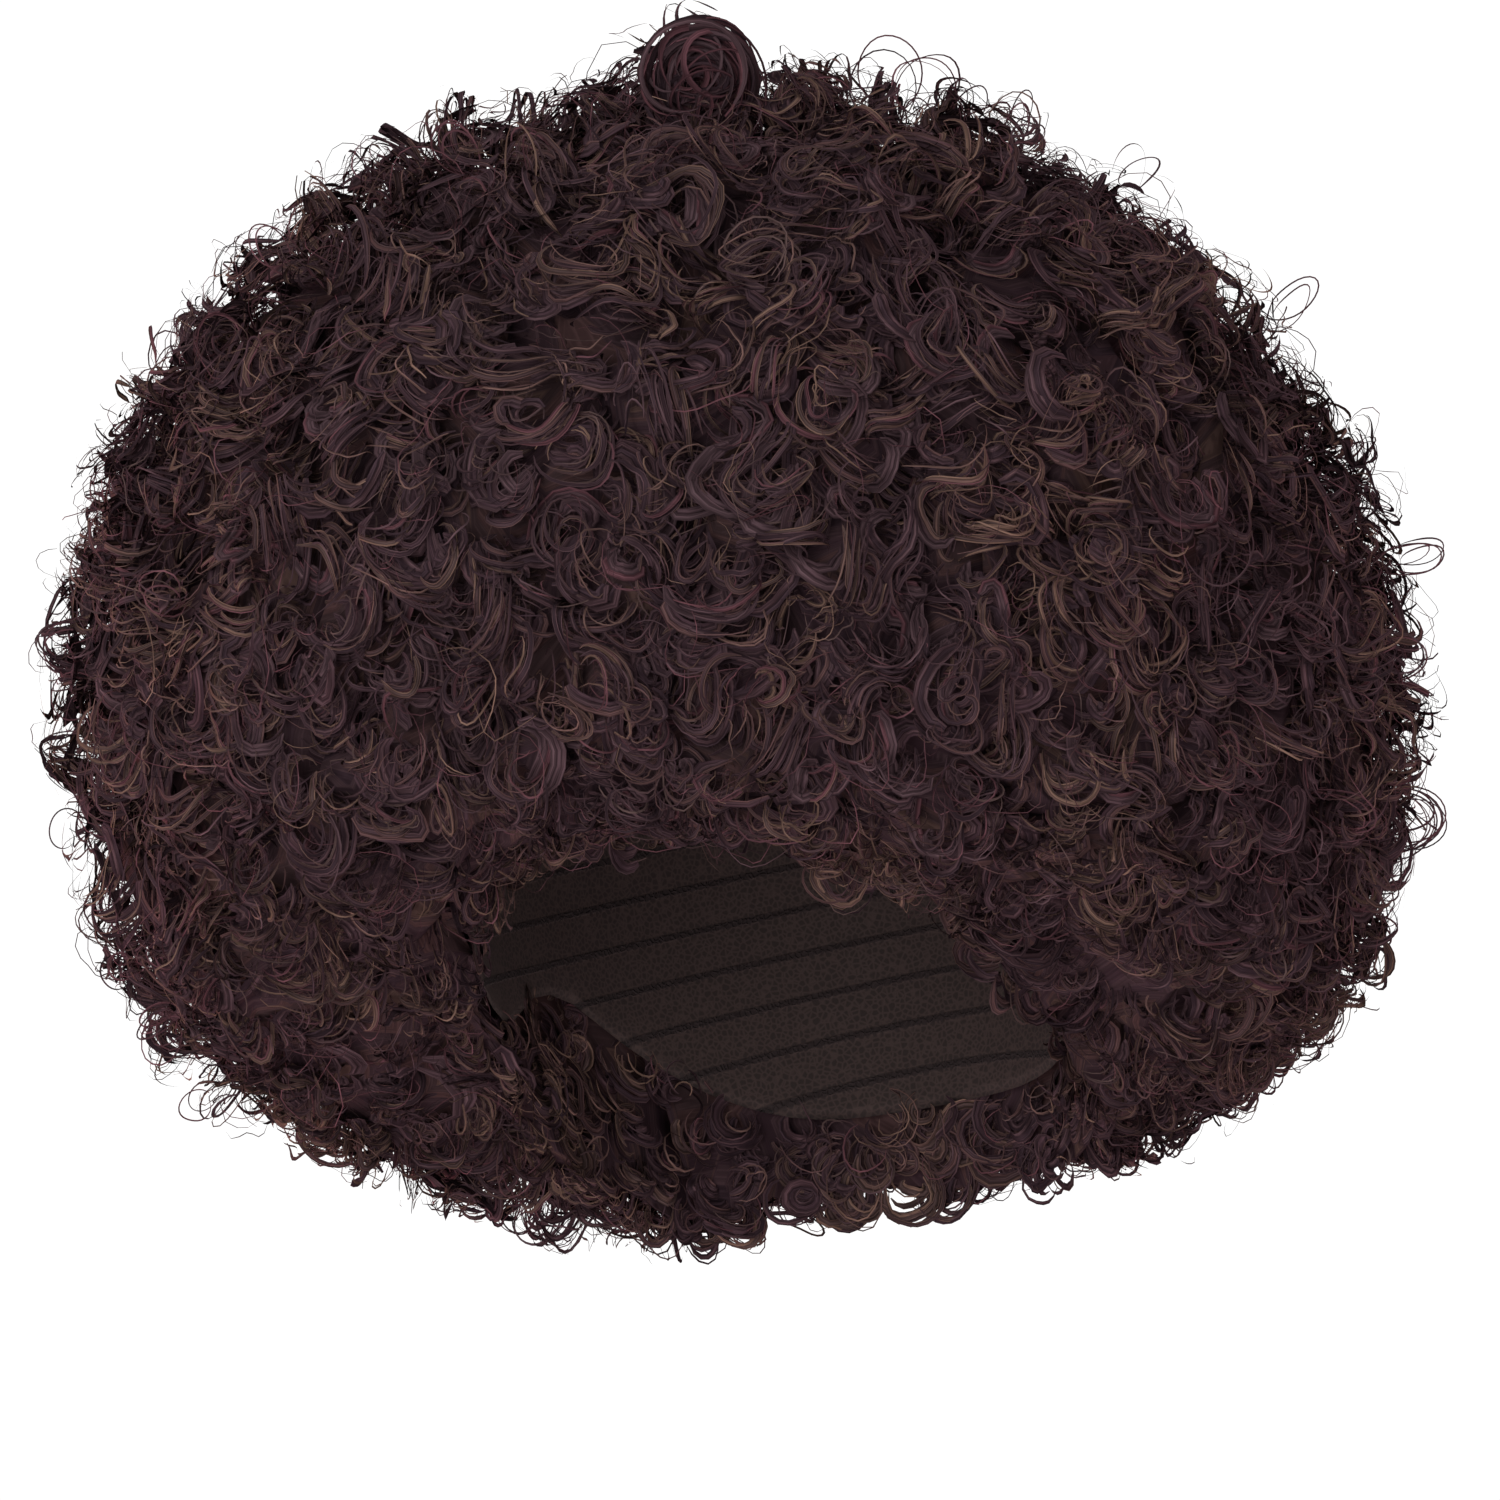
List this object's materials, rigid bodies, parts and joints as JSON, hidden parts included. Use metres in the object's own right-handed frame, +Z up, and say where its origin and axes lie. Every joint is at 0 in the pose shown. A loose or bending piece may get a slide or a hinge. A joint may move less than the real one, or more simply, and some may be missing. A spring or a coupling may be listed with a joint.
{
  "type": "afro wig",
  "caption": "Full round afro wig of small curls on a stretch cap, open below for the head and neck, with a fringe over the forehead and longer hair at the nape.",
  "frame": {"origin": "inside of the cap at its crown, where the top of the head carries the wig", "axes": "-Y is the way the wearer faces, +X is the wearer's left, +Z is up"},
  "size_m": [0.3517, 0.3322, 0.3175],
  "materials": {
    "cap_net": "knitted stretch net with sewn rows of weft",
    "hair_fibre": "dark brown curled modacrylic fibre with a soft sheen"
  },
  "bodies": {
    "root": {"wig_cap": "cap_net", "hair_crown": "hair_fibre", "hair_fringe": "hair_fibre", "hair_left_side": "hair_fibre", "hair_right_side": "hair_fibre", "hair_back": "hair_fibre", "hair_nape": "hair_fibre"}
  },
  "joints": []
}
